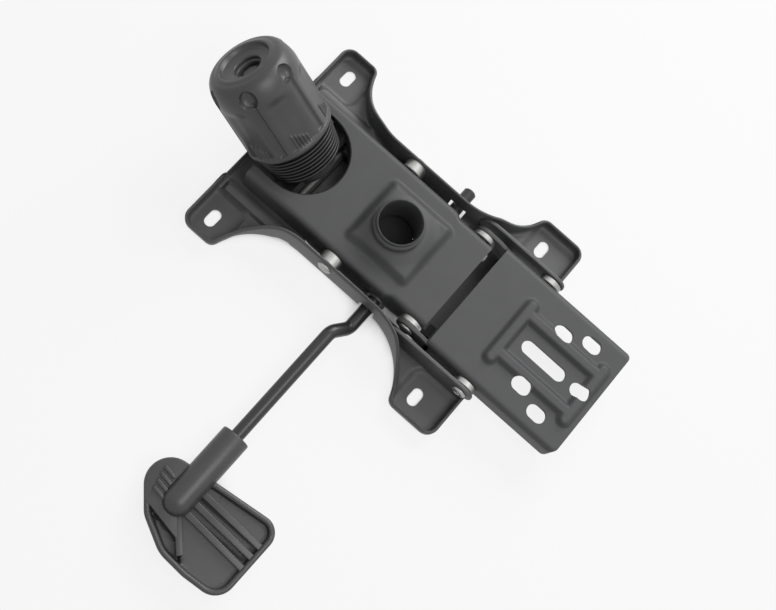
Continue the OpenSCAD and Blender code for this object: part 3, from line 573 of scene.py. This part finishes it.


# Boot: a black moulded sleeve of stacked rings between the knob and the cross plate, narrower towards the
# housing.
rubber = finish("boot_rubber", (0.010, 0.010, 0.011), 0.45, grain=0.04)
RINGS, RING_LOW, RING_PITCH, RING_R, RING_GROW = 7, -8.0, 2.83, 24.4, 0.43
boot = [(17.6, 18), (17.6, -13), (19.0, -13), (22.4, RING_LOW - 0.2)]
for k in range(RINGS):
    r, u = RING_R + RING_GROW * k, RING_LOW + RING_PITCH * k
    boot += [(r - 2.0, u), (r - 0.4, u + 0.15), (r, u + 0.5)]
    boot += [(r, u + 1.1), (r - 0.4, u + 1.5), (r - 2.0, u + 1.7)]
boot += [(25.0, 13.0), (24.4, 18)]
boot = piece(turned("boot", boot, 120, LEAN, closed=True), "ring_boot", rubber, None, "boot_rubber",
             "spring_boot", angle=50)
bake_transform(boot)


# Tension spring: round wire coiled inside the boot and the knob, between the cross plate and the washer.
# It is near-black steel, and is drawn in two halves.
COIL_R, WIRE_R, COIL_TURNS, COIL_LOW, COIL_RUN = 13.0, 2.4, 6, -10.5, 52.0


def swept(name, path, r, ends=1.0):
    """A round bar along a path, with its last points drawn in by a share to round the ends."""
    c = bpy.data.curves.new(name, "CURVE")
    c.dimensions = "3D"
    c.bevel_depth = r * MM
    c.bevel_resolution = 8
    c.use_fill_caps = True
    line = c.splines.new("POLY")
    line.points.add(len(path) - 1)
    for point, place in zip(line.points, path):
        point.co = (*(Vector(place) * MM), 1)
    line.points[0].radius = line.points[-1].radius = ends
    o = bpy.data.objects.new(name, c)
    scene.collection.objects.link(o)
    me = bpy.data.meshes.new_from_object(o.evaluated_get(bpy.context.evaluated_depsgraph_get()))
    bpy.data.objects.remove(o)
    bm = bmesh.new()
    bm.from_mesh(me)
    bpy.data.meshes.remove(me)
    bmesh.ops.remove_doubles(bm, verts=bm.verts, dist=1e-7)
    bmesh.ops.recalc_face_normals(bm, faces=bm.faces)
    bmesh.ops.scale(bm, vec=(1 / MM, 1 / MM, 1 / MM), verts=bm.verts)
    return part(name, bm)


dark_spring_steel = finish("dark_spring_finish", (0.05, 0.05, 0.05), 0.4, metal=0.8, grain=0.04)
coil = []
for k in range(241):
    a = 2 * math.pi * COIL_TURNS * k / 240
    coil.append(LEAN @ Vector((COIL_R * math.cos(a), COIL_R * math.sin(a), COIL_LOW + COIL_RUN * k / 240)))
COIL_MID, COIL_TOP = COIL_LOW + COIL_RUN / 2, COIL_LOW + COIL_RUN
halves = (("coil_spring", coil[:121], "housing", "bolt", COIL_LOW, COIL_MID),
          ("coil_spring_top", coil[120:], "bolt", "washer", COIL_MID, COIL_TOP))
for label, wire, foot, head, u0, u1 in halves:
    turns = piece(swept("spring", wire, WIRE_R), label, dark_spring_steel, None, "zinc_steel", "tension_spring")
    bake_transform(turns)


# Lever bar: a cranked steel bar through both sides of the housing, chamfered at its ends and painted a
# satin black.
rod_black = finish("rod_black", (0.028, 0.028, 0.03), 0.3, grain=0.04, scale=1200)
ROD_R, ROD_CHAMFER, ROD_BEND = 4.5, 1.0, 9.0
ROD_WAY = [(-61, 19, -37), (64, 19, -37), (75, 12, -30), (190, 12, -30)]


def filleted(points, r, n=8):
    """A path with its corners rounded."""
    out = [Vector(points[0])]
    for a, b, c in zip(points, points[1:], points[2:]):
        a, b, c = Vector(a), Vector(b), Vector(c)
        u, v = (a - b).normalized(), (c - b).normalized()
        t = r / math.tan(u.angle(v) / 2)
        steps = [k / n for k in range(n + 1)]
        out += [(b + u * t) * (1 - s) ** 2 + b * 2 * s * (1 - s) + (b + v * t) * s * s for s in steps]
    return out + [Vector(points[-1])]


path = filleted(ROD_WAY, ROD_BEND)
path.insert(1, path[0] + Vector((ROD_CHAMFER, 0, 0)))
path.insert(-1, path[-1] - Vector((ROD_CHAMFER, 0, 0)))
piece(swept("rod", path, ROD_R, 1 - ROD_CHAMFER / ROD_R), "lever_bar", rod_black, "lever", "black_rod",
      "lever_rod")


# Paddle: a black moulded handle pushed on the bar, with a round sleeve, a leaf with a raised rim, three
# stiffening ribs, a slanting web and a raised thumb rest with small plain bars.
LEAF_Z, SLEEVE_R, SLEEVE_X0, SLEEVE_X1 = -33.0, 9.7, 163.0, 220.0
ROD_Y, ROD_Z = 12.0, -30.0
LEAF_DISCS = [(210, 1.5, 15.8), (219.5, 12.5, 17.4), (222, 30, 22.9), (226, 43, 19.6), (231, 57, 13.5),
              (198, 60, 11)]
RIM_UP, REST_UP, RIB_UP, DOME_IN = 4.2, 4.3, 4.4, 5.5


def hull_of(points):
    """Outline of the smallest convex shape round some points."""
    pts = sorted(set((round(x, 4), round(y, 4)) for x, y in points))
    chain = []
    for run in (pts, pts[::-1]):
        out = []
        for p in run:
            while len(out) > 1 and ((out[-1][0] - out[-2][0]) * (p[1] - out[-2][1])
                                    - (out[-1][1] - out[-2][1]) * (p[0] - out[-2][0])) <= 0:
                out.pop()
            out.append(p)
        chain += out[:-1]
    return chain


def leaf_level(x, y):
    hollow = min(x - 221.5 - (y - 18) * 0.95, 243 - x, y + 6)
    between = min(x - 203, 217.5 - x, y - 17, 66 - y)
    wedge = min(x - 227 - (y - 2) * 0.18, 244 - x, y + 1, 40 - y, x - 221 - (y - 17) * 0.95)
    return LEAF_Z - 1.6 * ease(max(hollow, between) / 2.5) - 2.4 * ease(wedge / 2.0)


def at_level(up):
    return lambda x, y: LEAF_Z + up


def over_leaf(up):
    return lambda x, y: leaf_level(x, y) + up


leaf = spaced(hull_of([p for cx, cy, r in LEAF_DISCS for p in arc(cx, cy, r, 0, 360, 72)]), 1.3)
rows = [(0.6, at_level(-1.6)), (0.0, at_level(-0.9)), (0.0, at_level(2.6)), (0.35, at_level(3.4)),
        (1.0, at_level(3.95)), (1.8, at_level(RIM_UP)), (2.6, at_level(RIM_UP - 0.1)), (3.3, at_level(3.6)),
        (3.8, at_level(2.8)), (4.1, over_leaf(1.2)), (4.6, over_leaf(0.3)), (5.4, over_leaf(0.0))]
blade = thick(tray("blade", leaf, rows, leaf_level, [], 1.5), 1.6, even=False)
rest = prism("rest", drawn_in(leaf, 0.5), LEAF_Z - 1.0, LEAF_Z + REST_UP)
beside = [(227.0, -40), (227.6, 2), (232.0, 27), (220.5, 16.5), (216.5, 19.5), (216.5, 90), (270, 90),
          (270, -40)]
cut(rest, prism("beside", beside, -50, 0), block("behind", 150, 19.5, -50, 217, 90, 0))
ribs = [bevelled(rest, 0.8, segments=4)]
for x0, x1 in ((216.6, 219.4), (209.1, 211.0), (201.6, 203.2)):
    bar = [(x0 - 2.1, 17), (x0 + 2.1, 17), (x1 + 2.1, 67.5), (x1 - 2.1, 67.5)]
    ribs.append(bevelled(prism("rib", bar, LEAF_Z - 2.5, LEAF_Z + RIB_UP), 0.6))
web = [(219, 18.5), (222.2, 15.6), (239.4, 33.0), (236.2, 35.9)]
ribs.append(bevelled(prism("web", web, LEAF_Z - 4.5, LEAF_Z + 4.0), 0.5))
for k in range(4):
    x, y = 203.5 + 4.4 * k, -8.0 + 1.1 * k
    bar = [(x, y), (x + 2.3, y), (x + 3.4, y + 9.5), (x + 1.1, y + 9.5)]
    ribs.append(bevelled(prism("bar", bar, LEAF_Z + REST_UP - 0.5, LEAF_Z + REST_UP + 1.9), 0.5))
sleeve = [(4.6, 176), (4.6, 169), (6.4, 168.6), (6.6, 165.4), (7.6, 165.2), (7.8, SLEEVE_X0 + 0.3),
          (8.2, SLEEVE_X0), (9.1, SLEEVE_X0), (9.5, SLEEVE_X0 + 0.3), (SLEEVE_R, SLEEVE_X0 + 1.0),
          (SLEEVE_R, SLEEVE_X1 - DOME_IN)]
for k in range(1, 15):
    a = math.pi / 2 * k / 14
    sleeve.append((SLEEVE_R * math.cos(a) if k < 14 else 0, SLEEVE_X1 - DOME_IN + SLEEVE_R * math.sin(a)))
hub = turned("hub", sleeve, 72, along_x(ROD_Y, ROD_Z, 1))
piece(joined("handle", blade, hub, *ribs), "paddle_moulding", plastic, "lever", "black_plastic",
      "lever_paddle", angle=40)


# Small inner pieces: bolt, nut, washer, cross plate, saddle, bushes, finger, clip and lock keep their solid
# shape; the coated and zinc ones take darkened copies of their finish, painted shade, the rest their own.
# A darkened copy of the zinc: painted shade for the zinc inner pieces.
painted_shade_zinc = finish("painted_shade_zinc_finish", (0.13, 0.13, 0.125), 0.5, metal=1.0, grain=0.05, scale=900)
looks = {"coated_steel": painted_shade_coat, "black_plastic": plastic, "black_rod": rod_black, "zinc_steel": painted_shade_zinc,
         "boot_rubber": rubber}
for sub in frame["record"]["subparts"]:
    kept = frame["nodes"][sub["node"]].data.materials
    kept.clear()
    kept.append(looks[sub["material_slot"]])


# Stage: a pale floor under the pads, which looks white and keeps a faint shadow; where it is closely covered
# its glow fades with ambient occlusion, which is painted shade. A soft light stands over the far side and a
# weaker one over the rear.
STAGE_Z, STAGE_HALF = lo0.z - 0.0005, 8.0
WHITE_SHARE, SKY = 0.85, 0.10
SHADE_REACH, SHADE_FROM, SHADE_TO = 0.03, 0.2, 0.45


def seen_straight(tree):
    """1 for what the camera, a reflection or glass sees, else 0."""
    ray = tree.nodes.new("ShaderNodeLightPath")
    total = ray.outputs["Is Camera Ray"]
    for kind in ("Is Glossy Ray", "Is Transmission Ray"):
        add = tree.nodes.new("ShaderNodeMath")
        add.operation = "MAXIMUM"
        tree.links.new(total, add.inputs[0])
        tree.links.new(ray.outputs[kind], add.inputs[1])
        total = add.outputs[0]
    return total


bm = bmesh.new()
bmesh.ops.create_grid(bm, x_segments=1, y_segments=1, size=STAGE_HALF)
bmesh.ops.translate(bm, vec=(0, 0, STAGE_Z), verts=bm.verts)
bmesh.ops.scale(bm, vec=(1 / MM, 1 / MM, 1 / MM), verts=bm.verts)
floor = part("floor", bm)
paper = bpy.data.materials.new("paper")
paper.use_nodes = True
t = paper.node_tree
t.nodes["Principled BSDF"].inputs["Base Color"].default_value = (0.85, 0.85, 0.85, 1)
t.nodes["Principled BSDF"].inputs["Roughness"].default_value = 0.9
glow, mix = t.nodes.new("ShaderNodeEmission"), t.nodes.new("ShaderNodeMixShader")
share = t.nodes.new("ShaderNodeMath")
share.operation = "MULTIPLY"
share.inputs[1].default_value = WHITE_SHARE
# Ambient occlusion fades the floor's glow where it is closely covered: painted shade under the plates.
near = t.nodes.new("ShaderNodeAmbientOcclusion")
near.inputs["Distance"].default_value = SHADE_REACH
open_floor = t.nodes.new("ShaderNodeMapRange")
open_floor.inputs["From Min"].default_value = SHADE_FROM
open_floor.inputs["From Max"].default_value = SHADE_TO
t.links.new(near.outputs["AO"], open_floor.inputs["Value"])
lit = t.nodes.new("ShaderNodeMath")
lit.operation = "MULTIPLY"
t.links.new(seen_straight(t), lit.inputs[0])
t.links.new(open_floor.outputs["Result"], lit.inputs[1])
t.links.new(lit.outputs[0], share.inputs[0])
t.links.new(share.outputs[0], mix.inputs["Fac"])
t.links.new(t.nodes["Principled BSDF"].outputs["BSDF"], mix.inputs[1])
t.links.new(glow.outputs["Emission"], mix.inputs[2])
t.links.new(mix.outputs["Shader"], t.nodes["Material Output"].inputs["Surface"])
floor.data.materials.append(paper)
world = bpy.data.worlds.new("sky")
scene.world = world
world.use_nodes = True
t = world.node_tree
level = t.nodes.new("ShaderNodeMapRange")
level.inputs["To Min"].default_value = SKY
level.inputs["To Max"].default_value = 1.0
t.links.new(seen_straight(t), level.inputs["Value"])
t.links.new(level.outputs["Result"], t.nodes["Background"].inputs["Strength"])
t.nodes["Background"].inputs["Color"].default_value = (1, 1, 1, 1)


def soft_light(name, place, target, size, watts):
    d = bpy.data.lights.new(name, "AREA")
    d.size = size
    d.energy = watts
    o = bpy.data.objects.new(name, d)
    scene.collection.objects.link(o)
    o.location = place
    o.rotation_euler = (Vector(target) - Vector(place)).to_track_quat("-Z", "Y").to_euler()


soft_light("key", (-1.0, 0.0, 0.72), (0, 0, 0), 0.8, 11.5)
soft_light("fill", (0.1, 0.45, 1.0), (0.05, 0.02, 0), 0.6, 3.8)


# Camera at the photograph's angle: from the lever side and nearly straight above the housing. Its place and
# directions come from fitting a plain camera to the slots, edges and pivots.
CAM_PLACE = (0.24126, 0.03598, 0.70725)
CAM_RIGHT = (-0.64067, 0.74899, 0.16898)
CAM_DOWN = (0.72001, 0.66249, -0.20661)
PHOTO_W, FOCUS_PX, SENSOR = 776, 1200, 36
cam_data = bpy.data.cameras.new("camera")
cam = bpy.data.objects.new("camera", cam_data)
scene.collection.objects.link(cam)
scene.camera = cam
cam_data.sensor_width = SENSOR
cam_data.lens = FOCUS_PX / PHOTO_W * SENSOR
right, down = Vector(CAM_RIGHT).normalized(), Vector(CAM_DOWN)
down = (down - down.dot(right) * right).normalized()
turn = Matrix((right, -down, -right.cross(down))).transposed().to_4x4()
turn.translation = Vector(CAM_PLACE)
cam.matrix_world = turn
cam_data.clip_start = 0.01
cam_data.clip_end = 50
scene.view_settings.view_transform = "Standard"
